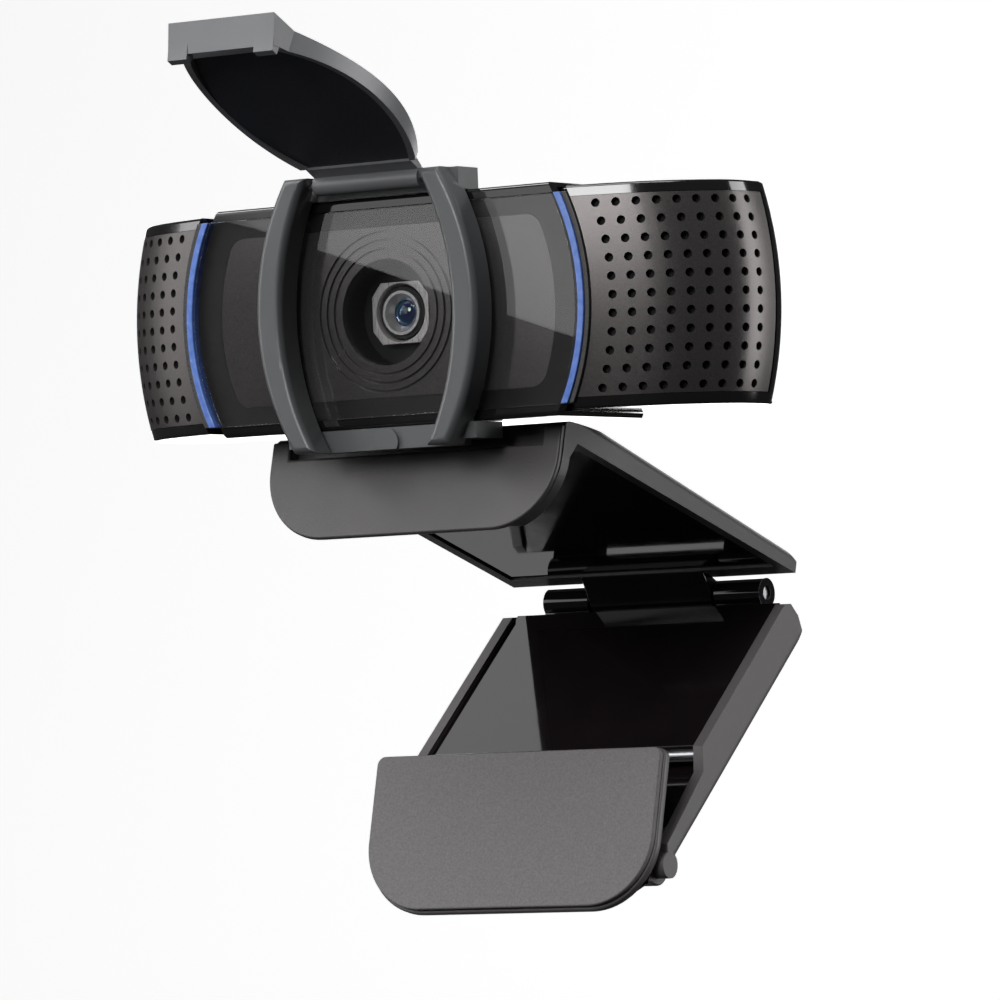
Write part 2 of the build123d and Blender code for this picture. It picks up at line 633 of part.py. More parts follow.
def microphone(side, word):
    """Microphone capsule in its rubber boot, standing on the main board in one wing."""
    x = side * MIC_X
    with BuildPart() as capsule:
        y_rod(x, 0, MIC_R, MIC_Y0, MIC_Y1)
        y_rod(x, 0, 0.5, MIC_Y0 - 0.6, MIC_Y0 + 0.4, mode=Mode.SUBTRACT)
    capsule.part.label = "mic_capsule_" + word
    export_step(capsule.part, "parts/mic_capsule_" + word + ".step")
    with BuildPart() as boot:
        y_rod(x, 0, MIC_R + 0.9, MIC_Y0 - 0.6, BOARD_Y)
        y_rod(x, 0, MIC_R + FIT, MIC_Y0, MIC_Y1, mode=Mode.SUBTRACT)
        y_rod(x, 0, 1.0, MIC_Y0 - 1.6, MIC_Y0 + 0.4, mode=Mode.SUBTRACT)
    boot.part.label = "mic_boot_" + word
    export_step(boot.part, "parts/mic_boot_" + word + ".step")


def status_lamp(side, word):
    """Lamp board and lamp behind one light pipe."""
    x = side * LAMP_X
    y = WINDOW_T + MASK_T + CARRIER_T
    with BuildPart() as lamp:
        x_box(x - 1.2, x + 1.2, y, y + 0.8, -4.0, 4.0)
        x_box(x - 0.6, x + 0.6, y + 0.8, y + 1.6, -1.0, 1.0)
    lamp.part.label = "status_lamp_" + word
    export_step(lamp.part, "parts/status_lamp_" + word + ".step")


for side, word in ((-1, "left"), (1, "right")):
    microphone(side, word)
    status_lamp(side, word)

# Steel plate that gives the head its weight
with BuildPart() as ballast_plate:
    x_box(-20.0, 20.0, BOARD_Y - 3.4, BOARD_Y - 0.6, -GRILLE_Z, -GRILLE_Z + 1.4)
    for x in (-14.0, 14.0):
        with BuildSketch(TOP.offset(-GRILLE_Z - 1)):
            with Locations((x, BOARD_Y - 2.0)):
                Circle(0.9)
        extrude(amount=4, mode=Mode.SUBTRACT)
ballast_plate.part.label = "ballast_plate"
export_step(ballast_plate.part, "parts/ballast_plate.step")

# Cradle in the head that carries the tilt pin, a roof with two cheeks
with BuildPart() as tilt_cradle:
    outer_x = TILT_CHEEK_X + TILT_CHEEK_T
    roof_z = TILT_Z + TILT_SWEEP
    x_box(-outer_x, -TILT_CHEEK_X, CRADLE_Y0, CRADLE_Y1, -GRILLE_Z, roof_z)
    x_box(TILT_CHEEK_X, outer_x, CRADLE_Y0, CRADLE_Y1, -GRILLE_Z, roof_z)
    x_box(-outer_x, outer_x, TILT_Y - 0.2, CRADLE_Y1, roof_z, roof_z + 1.0)
    x_rod(TILT_Y, TILT_Z, TILT_PIN_R + 0.01, 20, mode=Mode.SUBTRACT)
tilt_cradle.part.label = "tilt_cradle"
export_step(tilt_cradle.part, "parts/tilt_cradle.step")

# Pin of the tilt hinge, pressed into the cradle
with BuildPart() as tilt_pin:
    x_rod(TILT_Y, TILT_Z, TILT_PIN_R, TILT_CHEEK_X + TILT_CHEEK_T)
tilt_pin.part.label = "tilt_pin"
export_step(tilt_pin.part, "parts/tilt_pin.step")

# Post of the clip that the head tilts on, with its friction boss
with BuildPart() as tilt_post:
    with BuildSketch(SIDE):
        with Locations((TILT_Y, TILT_Z)):
            Circle(TILT_SWEEP - 0.5)
        with BuildLine():
            Polyline((TILT_Y - 2.2, TILT_Z - 0.4), (TILT_Y + 2.2, TILT_Z - 0.4), (TILT_Y + 2.2, CLIP_TOP),
                     (TILT_Y - 0.6, CLIP_TOP), close=True)
        make_face()
    extrude(amount=TILT_POST_HALF, both=True)
    x_rod(TILT_Y, TILT_Z, TILT_PIN_R + RUN, 20, mode=Mode.SUBTRACT)
tilt_post.part.label = "tilt_post"
export_step(tilt_post.part, "parts/tilt_post.step")

# Friction washers on the tilt pin
with BuildPart() as tilt_washers:
    for x in (-TILT_POST_HALF - 1.0, TILT_POST_HALF + 1.0):
        with BuildSketch(SIDE.offset(x - 0.5)):
            with Locations((TILT_Y, TILT_Z)):
                Circle(TILT_PIN_R + 0.75)
                Circle(TILT_PIN_R + 0.01, mode=Mode.SUBTRACT)
        extrude(amount=1.0)
tilt_washers.part.label = "tilt_washers"
export_step(tilt_washers.part, "parts/tilt_washers.step")

# Shutter frame: two curved brackets, a bar over the head and a bar under it
with BuildPart() as shutter_frame:
    for sign in (-1, 1):
        with BuildSketch(FACE.offset(-BRACKET_Y)):
            with Locations((sign * BRACKET_OUT_C, 0)):
                Circle(BRACKET_OUT_R)
            with Locations((sign * BRACKET_IN_C, 0)):
                Circle(BRACKET_IN_R, mode=Mode.SUBTRACT)
            with Locations((sign * 20, 0)):
                Rectangle(40, BRACKET_TOP * 2, mode=Mode.INTERSECT)
        extrude(amount=BRACKET_Y + MOVE * 0.4)
    fillet(shutter_frame.faces().filter_by(Axis.Y).group_by(Axis.Y)[0].edges(), BRACKET_ROUND)
    for sign in (-1, 1):
        # claw over the top and claw under the bottom
        x = sign * CLAW_TOP_X
        x_box(x - 1.9, x + 1.9, -1.0, CLAW_Y, CENTRE_Z + FIT, BRACKET_TOP)
        x = sign * CLAW_UNDER_X
        x_box(x - 1.7, x + 1.7, -1.0, CLAW_Y + 1.6, -CENTRE_Z - 2.1, -CENTRE_Z - FIT)
    x_box(-CLAW_TOP_X + 1.7, CLAW_TOP_X - 1.7, 0.3, CLAW_Y, CENTRE_Z + FIT, CENTRE_Z + 1.0)
    x_box(-CLAW_UNDER_X + 1.6, CLAW_UNDER_X - 1.6, 0.3, 2.8, -BRACKET_TOP, -CENTRE_Z - FIT)
    # thumb boss under the lower bar
    with BuildSketch(FACE.offset(-0.3)):
        with Locations((0, -BRACKET_TOP + 0.9)):
            Circle(1.8)
        with Locations((0, -BRACKET_TOP - 2.0)):
            Rectangle(8, 4, mode=Mode.SUBTRACT)
    extrude(amount=0.4)
    x_rod(FLAP_AXIS_Y, FLAP_AXIS_Z, FLAP_PIN_R + 0.01, FLAP_PIN_HALF, mode=Mode.SUBTRACT)
shutter_frame.part.label = "shutter_frame"
export_step(shutter_frame.part, "parts/shutter_frame.step")

# Soft strips between the shutter's bars and the head
with BuildPart() as shutter_pads:
    for sign in (-1, 1):
        x_box(sign * 14.7 - 1.5, sign * 14.7 + 1.5, -MOVE * 0.4, -0.01, -4.0, 4.0)
shutter_pads.part.label = "shutter_pads"
export_step(shutter_pads.part, "parts/shutter_pads.step")

# Pin of the flap, fixed in the brackets
with BuildPart() as flap_pin:
    x_rod(FLAP_AXIS_Y, FLAP_AXIS_Z, FLAP_PIN_R, FLAP_PIN_HALF)
flap_pin.part.label = "flap_pin"
export_step(flap_pin.part, "parts/flap_pin.step")


def flap_leaf(radius):
    """Leaf shape between two arcs, in the plane of the open flap."""
    with Locations((FLAP_ARC_C, FLAP_ARC_Z)):
        Circle(radius)
    with Locations((-FLAP_ARC_C, FLAP_ARC_Z)):
        Circle(radius, mode=Mode.INTERSECT)


# Flap of the shutter, open, with its rim and knuckle
with BuildPart() as shutter_flap:
    with BuildSketch(SIDE):
        with BuildLine():
            under = Spline(flap_point(0.6, 0.55), flap_point(16.0, 0.9), flap_point(26.5, 0.3),
                           flap_point(34.0, -1.4))
            lower = Line(under @ 1, flap_point(35.6, 2.3))
            top = Line(lower @ 1, flap_point(33.4, 2.35))
            over = Spline(top @ 1, flap_point(26.5, 0.3 + FLAP_T), flap_point(16.0, 0.8 + FLAP_T),
                          flap_point(0.6, 1.2))
            Line(over @ 1, under @ 0)
        make_face()
    extrude(amount=20, both=True)
    with BuildSketch(FLAP_PLANE.offset(-5)):
        flap_leaf(FLAP_R)
        with Locations((0, -34.0)):
            Rectangle(FLAP_HALF_END * 2, 6.0)
        with Locations((0, -3.0)):
            Rectangle(FLAP_HINGE_HALF * 2, 9.0)
        for sign in (-1, 1):
            with Locations((sign * (FLAP_HINGE_HALF + 5), 0)):
                Rectangle(10, FLAP_NECK * 2, mode=Mode.SUBTRACT)
    extrude(amount=12, mode=Mode.INTERSECT)
    x_rod(FLAP_AXIS_Y, FLAP_AXIS_Z, FLAP_KNUCKLE_R, FLAP_HINGE_HALF)
    # two small hooks under the tip
    for x in (-FLAP_HALF_END + 1.5, FLAP_HALF_END - 1.5):
        with BuildSketch(SIDE.offset(x)):
            with BuildLine():
                Polyline(flap_point(32.8, -0.9), flap_point(34.6, 0.0), flap_point(33.9, -2.1),
                         flap_point(32.9, -2.1), close=True)
            make_face()
        extrude(amount=1.45, both=True)
    # recess of the inner side
    with BuildSketch(FLAP_PLANE.offset(-2.5)):
        flap_leaf(FLAP_R - FLAP_RIM)
        with Locations((0, FLAP_RECESS_MID)):
            Rectangle(FLAP_R * 2, FLAP_RECESS, mode=Mode.INTERSECT)
    extrude(amount=3.9, mode=Mode.SUBTRACT)
    x_rod(FLAP_AXIS_Y, FLAP_AXIS_Z, FLAP_PIN_R + RUN, 20, mode=Mode.SUBTRACT)
shutter_flap.part.label = "shutter_flap"
export_step(shutter_flap.part, "parts/shutter_flap.step")

# Dark lining of the flap
with BuildPart() as flap_lining:
    with BuildSketch(FLAP_PLANE.offset(0.95)):
        flap_leaf(FLAP_R - FLAP_RIM - FIT)
        with Locations((0, FLAP_RECESS_MID)):
            Rectangle(FLAP_R * 2, FLAP_RECESS - 2 * FIT, mode=Mode.INTERSECT)
    extrude(amount=0.45)
flap_lining.part.label = "flap_lining"
export_step(flap_lining.part, "parts/flap_lining.step")


def lip_y(z):
    """Front face of the lip cover at a height."""
    return 6.7 + (z + 14.55) * LIP_SLOPE


def slab_top_z(y):
    """Upper face of the slab at a depth."""
    return -15.0 - (y - 13.9) * SLAB_TOP


def slab_under_z(y):
    """Lower edges of the slab's side walls at a depth."""
    return -19.1 - (y - 14.3) * SLAB_UNDER


LIP_PLANE = Plane(origin=(0, WINDOW_Y + lip_y(LIP_Z0), HEAD_Z + LIP_Z0), x_dir=(1, 0, 0),
                  z_dir=(0, -math.cos(math.atan(LIP_SLOPE)), math.sin(math.atan(LIP_SLOPE))))
THREAD_Y, THREAD_Z = arm_point(THREAD_ALONG, ARM_OUT)
THREAD_PLANE = Plane(origin=(0, WINDOW_Y + THREAD_Y, HEAD_Z + THREAD_Z), x_dir=(1, 0, 0),
                     z_dir=(0, math.sin(math.radians(ARM_ANGLE)), -math.cos(math.radians(ARM_ANGLE))))
FOOT_PLANE = Plane(origin=(0, WINDOW_Y + FOOT_TOP_Y, HEAD_Z + FOOT_TOP_Z), x_dir=(1, 0, 0),
                   z_dir=(0, -math.cos(math.radians(FOOT_SLOPE)), math.sin(math.radians(FOOT_SLOPE))))
LIP_HEIGHT = (LIP_Z1 - LIP_Z0) / math.cos(math.atan(LIP_SLOPE))


def claw_scoop():
    """Scoop in the lip's top that lets the shutter's claws swing past."""
    x_box(-SCOOP_HALF, SCOOP_HALF, 3.0, SCOOP_Y, SCOOP_Z, -CENTRE_Z + 0.5, mode=Mode.SUBTRACT)


# Clip: the lip hangs in front of the screen, the slab lies behind it
with BuildPart() as clip_shell:
    with BuildSketch(SIDE):
        with BuildLine():
            foot_z = LIP_Z0 + 0.2
            seat = LIP_COVER_T + FIT
            Polyline((lip_y(foot_z) + seat, foot_z), (lip_y(LIP_Z1) + seat, LIP_Z1),
                     (lip_y(LIP_Z1) + 1.6, CLIP_TOP), (13.6, CLIP_TOP), (59.0, slab_top_z(59.0)),
                     (60.8, slab_top_z(60.8) - 1.2), (60.4, slab_under_z(60.4)), (57.0, slab_under_z(57.0)),
                     (9.9, slab_under_z(9.9)), (lip_y(-19.4) + LIP_T, -19.4), (lip_y(foot_z) + LIP_T, foot_z),
                     close=True)
        make_face()
    extrude(amount=CLIP_HALF, both=True)
    long_edges = clip_shell.edges().filter_by(lambda e: e.length > 40 and abs(e.tangent_at(0.5).X) < 0.1)
    fillet(long_edges.sort_by(Axis.Z)[-2:], 1.4)
    # hollow of the slab, open below
    with BuildSketch(SIDE):
        with BuildLine():
            Polyline((SLAB_FRONT, slab_under_z(SLAB_FRONT) - 3), (SLAB_FRONT, slab_top_z(13.9) - CLIP_SKIN),
                     (SLAB_END, slab_top_z(SLAB_END) - CLIP_SKIN), (SLAB_END, slab_under_z(SLAB_END) - 3),
                     close=True)
        make_face()
    extrude(amount=CLIP_HALF - SIDE_WALL, both=True, mode=Mode.SUBTRACT)
    # rounded lower corners of the lip
    with BuildSketch(LIP_PLANE.offset(4)):
        for sign in (-1, 1):
            with Locations((sign * (CLIP_HALF - LIP_CORNER / 2 + 2), LIP_CORNER / 2 - 2)):
                Rectangle(LIP_CORNER + 4, LIP_CORNER + 4)
        for sign in (-1, 1):
            with Locations((sign * (CLIP_HALF - LIP_CORNER), LIP_CORNER + 0.2)):
                Circle(LIP_CORNER, mode=Mode.SUBTRACT)
                Rectangle(LIP_CORNER * 4, LIP_CORNER * 2, align=(Align.CENTER, Align.MIN), mode=Mode.SUBTRACT)
        Rectangle((CLIP_HALF - LIP_CORNER) * 2, 40, mode=Mode.SUBTRACT)
    extrude(amount=-9, mode=Mode.SUBTRACT)
    claw_scoop()
    # ramp that lets the head's underside tilt back
    ramp = math.tan(math.radians(TILT_BACK + 1))
    under_head = -CENTRE_Z - MOVE
    with BuildSketch(SIDE):
        with BuildLine():
            Polyline((TILT_Y, under_head), (HEAD_DEPTH, under_head - (HEAD_DEPTH - TILT_Y) * ramp),
                     (HEAD_DEPTH, -10.0), (TILT_Y, -10.0), close=True)
        make_face()
    extrude(amount=CLIP_HALF + 1, both=True, mode=Mode.SUBTRACT)
clip_shell.part.label = "clip_shell"
export_step(clip_shell.part, "parts/clip_shell.step")

# Cover plate on the front of the lip
with BuildPart() as lip_cover:
    with BuildSketch(LIP_PLANE.offset(-LIP_COVER_T)) as cover_outline:
        with Locations((0, LIP_HEIGHT / 2)):
            Rectangle(CLIP_HALF * 2, LIP_HEIGHT)
        fillet(cover_outline.vertices().group_by(Axis.Y)[0], LIP_CORNER)
    extrude(amount=LIP_COVER_T)
    claw_scoop()
lip_cover.part.label = "lip_cover"
export_step(lip_cover.part, "parts/lip_cover.step")

# Rubber pad on the rear of the lip
with BuildPart() as lip_pad:
    with BuildSketch(LIP_PLANE.offset(-LIP_T * math.cos(math.atan(LIP_SLOPE)) - FIT)):
        with Locations((0, 5.2)):
            RectangleRounded(34, 6.4, 1.5)
    extrude(amount=-0.6)
lip_pad.part.label = "lip_pad"
export_step(lip_pad.part, "parts/lip_pad.step")

# Glossy lining under the slab
with BuildPart() as clip_liner:
    with BuildSketch(SIDE):
        with BuildLine():
            Polyline((SLAB_FRONT + FIT, slab_under_z(SLAB_FRONT) + 0.3),
                     (SLAB_END - FIT, slab_under_z(SLAB_END) + 0.3),
                     (SLAB_END - FIT, slab_top_z(SLAB_END) - CLIP_SKIN - FIT),
                     (SLAB_FRONT + FIT, slab_top_z(13.9) - CLIP_SKIN - 0.9), close=True)
        make_face()
    extrude(amount=CLIP_HALF - SIDE_WALL - FIT, both=True)
clip_liner.part.label = "clip_liner"
export_step(clip_liner.part, "parts/clip_liner.step")

# Middle knuckle of the fold hinge, fixed under the slab's end
with BuildPart() as clip_knuckle:
    with BuildSketch(SIDE):
        with Locations((FOLD_Y, FOLD_Z)):
            Circle(FOLD_R)
        with BuildLine():
            Polyline((57.4, slab_under_z(57.4) - 0.02), (60.4, slab_under_z(60.4) - 0.02),
                     (FOLD_Y + FOLD_R * 0.9, FOLD_Z + 0.8), (FOLD_Y, FOLD_Z),
                     (FOLD_Y - FOLD_R * 0.9, FOLD_Z - 0.6), close=True)
        make_face()
    extrude(amount=FOLD_CENTRE, both=True)
    x_rod(FOLD_Y, FOLD_Z, FOLD_PIN_R + RUN, 30, mode=Mode.SUBTRACT)
clip_knuckle.part.label = "clip_knuckle"
export_step(clip_knuckle.part, "parts/clip_knuckle.step")

# Arm: tray with two side walls and a floor on the outside
with BuildPart() as arm_shell:
    with BuildSketch(SIDE):
        with BuildLine():
            Polyline(arm_point(ARM_TOP + 1.4, ARM_IN), arm_point(ARM_NOTCH, ARM_IN),
                     arm_point(ARM_NOTCH + 2.2, ARM_IN + ARM_NOTCH_DEPTH),
                     arm_point(ARM_END - 2.5, ARM_IN + ARM_NOTCH_DEPTH + 0.9), arm_point(ARM_END, ARM_OUT),
                     arm_point(ARM_TOP + 3.0, ARM_OUT), arm_point(ARM_TOP + 0.6, ARM_OUT - 1.1),
                     arm_point(ARM_TOP, ARM_OUT - 3.2), arm_point(ARM_TOP + 0.3, ARM_IN + 0.9), close=True)
        make_face()
        with Locations((FOOT_Y, FOOT_Z)):
            Circle(FOOT_EAR_R)
    extrude(amount=CLIP_HALF, both=True)
    outer_long = arm_shell.edges().filter_by(lambda e: e.length > 38 and abs(e.tangent_at(0.5).X) < 0.1)
    fillet(outer_long.sort_by(Axis.Z)[0:2], 1.3)
    # inside of the tray
    with BuildSketch(SIDE):
        with BuildLine():
            Polyline(arm_point(ARM_TOP + 1.4, ARM_IN - 2), arm_point(60, ARM_IN - 2),
                     arm_point(60, ARM_OUT - ARM_FLOOR), arm_point(ARM_TOP + 1.4, ARM_OUT - ARM_FLOOR),
                     close=True)
        make_face()
    extrude(amount=CLIP_HALF - SIDE_WALL, both=True, mode=Mode.SUBTRACT)
    # opening for the foot's hinge
    with BuildSketch(SIDE):
        with BuildLine():
            Polyline(arm_point(ARM_OPEN + 0.1, ARM_IN - 2), arm_point(60, ARM_IN - 2), arm_point(60, 12),
                     arm_point(ARM_OPEN + 0.1, 12), close=True)
        make_face()
    extrude(amount=CLIP_HALF - SIDE_WALL, both=True, mode=Mode.SUBTRACT)
    # end wall at the hinge, lowered for the lining's tongue
    with BuildSketch(SIDE):
        with BuildLine():
            Polyline(arm_point(0, ARM_IN - 2), arm_point(ARM_TOP + 2, ARM_IN - 2),
                     arm_point(ARM_TOP + 2, TRAY_TOP + TRAY_T + FIT), arm_point(0, TRAY_TOP + TRAY_T + FIT),
                     close=True)
        make_face()
    extrude(amount=CLIP_HALF - SIDE_WALL, both=True, mode=Mode.SUBTRACT)
    x_rod(FOOT_Y, FOOT_Z, FOOT_PIN_R + 0.01, CLIP_HALF - 0.5, mode=Mode.SUBTRACT)
    # seat of the tripod thread
    with BuildSketch(THREAD_PLANE.offset(1)):
        Circle(INSERT_R)
    extrude(amount=-3, mode=Mode.SUBTRACT)
arm_shell.part.label = "arm_shell"
export_step(arm_shell.part, "parts/arm_shell.step")

# Glossy lining of the tray: upper floor, a step down, and a lower floor for the folded foot
with BuildPart() as arm_liner:
    with BuildSketch(SIDE):
        with BuildLine():
            step_rear = TRAY_STEP - TRAY_T
            Polyline(arm_point(ARM_TOP + 0.3, TRAY_TOP), arm_point(TRAY_STEP, TRAY_TOP),
                     arm_point(TRAY_STEP, LINER_FLOOR), arm_point(ARM_OPEN, LINER_FLOOR),
                     arm_point(ARM_OPEN, LINER_FLOOR + TRAY_T), arm_point(step_rear, LINER_FLOOR + TRAY_T),
                     arm_point(step_rear, TRAY_TOP + TRAY_T), arm_point(ARM_TOP + 0.3, TRAY_TOP + TRAY_T),
                     close=True)
        make_face()
    extrude(amount=CLIP_HALF - SIDE_WALL - FIT, both=True)
    # ribs that stand on the arm's floor
    for x in (-14.0, 0.0, 14.0):
        with BuildSketch(SIDE.offset(x)):
            with BuildLine():
                Polyline(arm_point(6.0, TRAY_TOP + 0.5), arm_point(TRAY_STEP - 0.5, TRAY_TOP + 0.5),
                         arm_point(TRAY_STEP - 0.5, ARM_OUT - ARM_FLOOR - FIT),
                         arm_point(6.0, ARM_OUT - ARM_FLOOR - FIT), close=True)
            make_face()
        extrude(amount=0.5, both=True)
    with BuildSketch(THREAD_PLANE.offset(1)):
        Circle(INSERT_R)
    extrude(amount=-7, mode=Mode.SUBTRACT)
arm_liner.part.label = "arm_liner"
export_step(arm_liner.part, "parts/arm_liner.step")

# Outer knuckles of the fold hinge, standing on the arm's end wall
with BuildPart() as arm_knuckles:
    for sign in (-1, 1):
        with BuildSketch(SIDE.offset(sign * (FOLD_CENTRE + MOVE + FOLD_HALF) / 2)):
            with Locations((FOLD_Y, FOLD_Z)):
                Circle(FOLD_R)
            with BuildLine():
                Polyline(arm_point(0, -1.2), arm_point(ARM_TOP + 0.2, TRAY_TOP + TRAY_T + 0.1),
                         arm_point(ARM_TOP - 0.02, ARM_OUT - 3.2), arm_point(ARM_TOP + 0.2, ARM_OUT - 2.2),
                         arm_point(0, FOLD_R - 0.2), close=True)
            make_face()
        extrude(amount=(FOLD_HALF - FOLD_CENTRE - MOVE) / 2, both=True)
    with BuildSketch(SIDE):
        with BuildLine():
            Polyline(arm_point(ARM_TOP, TRAY_TOP + TRAY_T + FIT),
                     arm_point(ARM_TOP + 4, TRAY_TOP + TRAY_T + FIT),
                     arm_point(ARM_TOP + 4, ARM_OUT), arm_point(ARM_TOP + 0.6, ARM_OUT - 1.1),
                     arm_point(ARM_TOP, ARM_OUT - 3.2), close=True)
        make_face()
    extrude(amount=CLIP_HALF, both=True, mode=Mode.SUBTRACT)
    x_rod(FOLD_Y, FOLD_Z, FOLD_PIN_R + 0.01, 30, mode=Mode.SUBTRACT)
arm_knuckles.part.label = "arm_knuckles"
export_step(arm_knuckles.part, "parts/arm_knuckles.step")

# Steel pin of the fold hinge, fixed in the arm's knuckles
with BuildPart() as fold_pin:
    x_rod(FOLD_Y, FOLD_Z, FOLD_PIN_R, FOLD_HALF - 0.4)
fold_pin.part.label = "fold_pin"
export_step(fold_pin.part, "parts/fold_pin.step")

# Bar across the tray that the folded foot rests behind
with BuildPart() as arm_stop_bar:
    bar_y, bar_z = arm_point(TRAY_STEP + STOP_BAR_R + FIT, 0.2)
    x_rod(bar_y, bar_z, STOP_BAR_R, CLIP_HALF - SIDE_WALL - 0.01)
arm_stop_bar.part.label = "arm_stop_bar"
export_step(arm_stop_bar.part, "parts/arm_stop_bar.step")

# Threaded insert for a tripod
with BuildPart() as tripod_insert:
    with BuildSketch(THREAD_PLANE):
        Circle(INSERT_R - FIT)
        Circle(TRIPOD_BORE_R, mode=Mode.SUBTRACT)
    extrude(amount=-INSERT_LENGTH)
tripod_insert.part.label = "tripod_insert"
export_step(tripod_insert.part, "parts/tripod_insert.step")

# Foot plate with its hinge barrel
with BuildPart() as foot_plate:
    with BuildSketch(FOOT_PLANE.offset(-PAD_T - 0.02)) as plate_outline:
        with Locations((0, -FOOT_LENGTH / 2)):
            Rectangle(CLIP_HALF * 2, FOOT_LENGTH)
        fillet(plate_outline.vertices().group_by(Axis.Y)[0], FOOT_CORNER)
        fillet(plate_outline.vertices().group_by(Axis.Y)[-1], 1.4)
    extrude(amount=-(FOOT_T - PAD_T - 0.02))
    with BuildSketch(SIDE):
        with Locations((FOOT_Y, FOOT_Z)):
            Circle(FOOT_BARREL_R)
        with BuildLine():
            Polyline(foot_point(FOOT_DOWN - FOOT_BARREL_R, FOOT_T - 0.1),
                     (FOOT_Y, FOOT_Z + FOOT_BARREL_R - 0.1),
                     (FOOT_Y, FOOT_Z - FOOT_BARREL_R + 0.1),
                     foot_point(FOOT_DOWN + FOOT_BARREL_R, FOOT_T - 0.1), close=True)
        make_face()
    extrude(amount=CLIP_HALF - SIDE_WALL - MOVE, both=True)
    x_rod(FOOT_Y, FOOT_Z, FOOT_PIN_R + RUN, 30, mode=Mode.SUBTRACT)
foot_plate.part.label = "foot_plate"
export_step(foot_plate.part, "parts/foot_plate.step")

# Textured rubber pad on the foot
with BuildPart() as foot_pad:
    with BuildSketch(FOOT_PLANE.offset(-PAD_T)) as pad_outline:
        with Locations((0, -FOOT_LENGTH / 2 + 0.15)):
            Rectangle(CLIP_HALF * 2 - 0.5, FOOT_LENGTH - 0.5)
        fillet(pad_outline.vertices().group_by(Axis.Y)[0], FOOT_CORNER - 0.25)
        fillet(pad_outline.vertices().group_by(Axis.Y)[-1], 1.2)
    extrude(amount=PAD_T)
foot_pad.part.label = "foot_pad"
export_step(foot_pad.part, "parts/foot_pad.step")

# Pin of the foot, fixed in the arm's ears
with BuildPart() as foot_pin:
    x_rod(FOOT_Y, FOOT_Z, FOOT_PIN_R, CLIP_HALF - 0.6)
foot_pin.part.label = "foot_pin"
export_step(foot_pin.part, "parts/foot_pin.step")
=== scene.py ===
import json
import math

import bmesh
import bpy
from mathutils import Matrix, Vector


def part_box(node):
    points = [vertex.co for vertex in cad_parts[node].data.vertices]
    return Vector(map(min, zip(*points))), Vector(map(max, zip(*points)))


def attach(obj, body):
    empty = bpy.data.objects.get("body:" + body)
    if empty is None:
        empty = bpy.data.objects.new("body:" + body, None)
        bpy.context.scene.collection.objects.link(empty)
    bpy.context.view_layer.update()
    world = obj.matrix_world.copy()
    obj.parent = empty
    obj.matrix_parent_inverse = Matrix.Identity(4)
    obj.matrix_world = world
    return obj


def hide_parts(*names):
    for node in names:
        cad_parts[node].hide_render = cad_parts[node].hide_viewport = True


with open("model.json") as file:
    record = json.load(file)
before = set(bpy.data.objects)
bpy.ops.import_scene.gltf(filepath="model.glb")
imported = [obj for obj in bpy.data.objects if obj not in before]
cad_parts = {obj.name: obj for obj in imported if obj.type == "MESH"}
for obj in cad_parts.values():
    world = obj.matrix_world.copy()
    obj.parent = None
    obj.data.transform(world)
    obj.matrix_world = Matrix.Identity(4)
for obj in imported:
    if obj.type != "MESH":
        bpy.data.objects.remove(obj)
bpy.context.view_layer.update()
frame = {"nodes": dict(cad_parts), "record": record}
NODES = frame["nodes"]
MM = 0.001

# ---------------------------------------------------------------- camera

WINDOW_CENTRE = Vector((0, -9.8, 17.5)) * MM      # centre of the front window
CAMERA_AZIMUTH = 34.0                             # degrees, from the front towards the right side
CAMERA_ELEVATION = -1.95
CAMERA_ROLL = -2.19
CAMERA_DISTANCE = 0.9                             # metres, to the point aimed at
CAMERA_LENS = 258.1                               # focal length, mm
AIM_RIGHT = 14.884 * MM                           # what the camera aims at, from the window centre
AIM_UP = -23.631 * MM
SENSOR_WIDTH = 36.0                               # mm
CLIP_NEAR = 0.05
CLIP_FAR = 20.0


def view_axes(azimuth, elevation, roll):
    """Right, up and back directions of a camera that looks along -back. Angles in degrees."""
    a = math.radians(azimuth)
    e = math.radians(elevation)
    back = Vector((math.sin(a) * math.cos(e), -math.cos(a) * math.cos(e), math.sin(e)))
    flat = Vector((math.cos(a), math.sin(a), 0))
    upright = back.cross(flat)
    r = math.radians(roll)
    right = flat * math.cos(r) + upright * math.sin(r)
    up = upright * math.cos(r) - flat * math.sin(r)
    return right, up, back


CAMERA_AXES = view_axes(CAMERA_AZIMUTH, CAMERA_ELEVATION, CAMERA_ROLL)
AIM_POINT = WINDOW_CENTRE + CAMERA_AXES[0] * AIM_RIGHT + CAMERA_AXES[1] * AIM_UP
CAMERA_PLACE = AIM_POINT + CAMERA_AXES[2] * CAMERA_DISTANCE


def make_camera():
    right, up, back = CAMERA_AXES
    data = bpy.data.cameras.new("camera")
    data.sensor_width = SENSOR_WIDTH
    data.lens = CAMERA_LENS
    data.clip_start = CLIP_NEAR
    data.clip_end = CLIP_FAR
    camera = bpy.data.objects.new("camera", data)
    bpy.context.scene.collection.objects.link(camera)
    turn = Matrix((right, up, back)).transposed().to_4x4()
    camera.matrix_world = Matrix.Translation(CAMERA_PLACE) @ turn
    bpy.context.scene.camera = camera


# ---------------------------------------------------------------- materials

MADE = {}                        # material name: material
TEXTURE_LOW, TEXTURE_HIGH = 0.3, 0.7
MIX_FACTOR, MIX_A, MIX_B, MIX_RESULT = 0, 6, 7, 2    # the Mix node's colour sockets


def opaque(colour):
    return (*colour, 1.0)


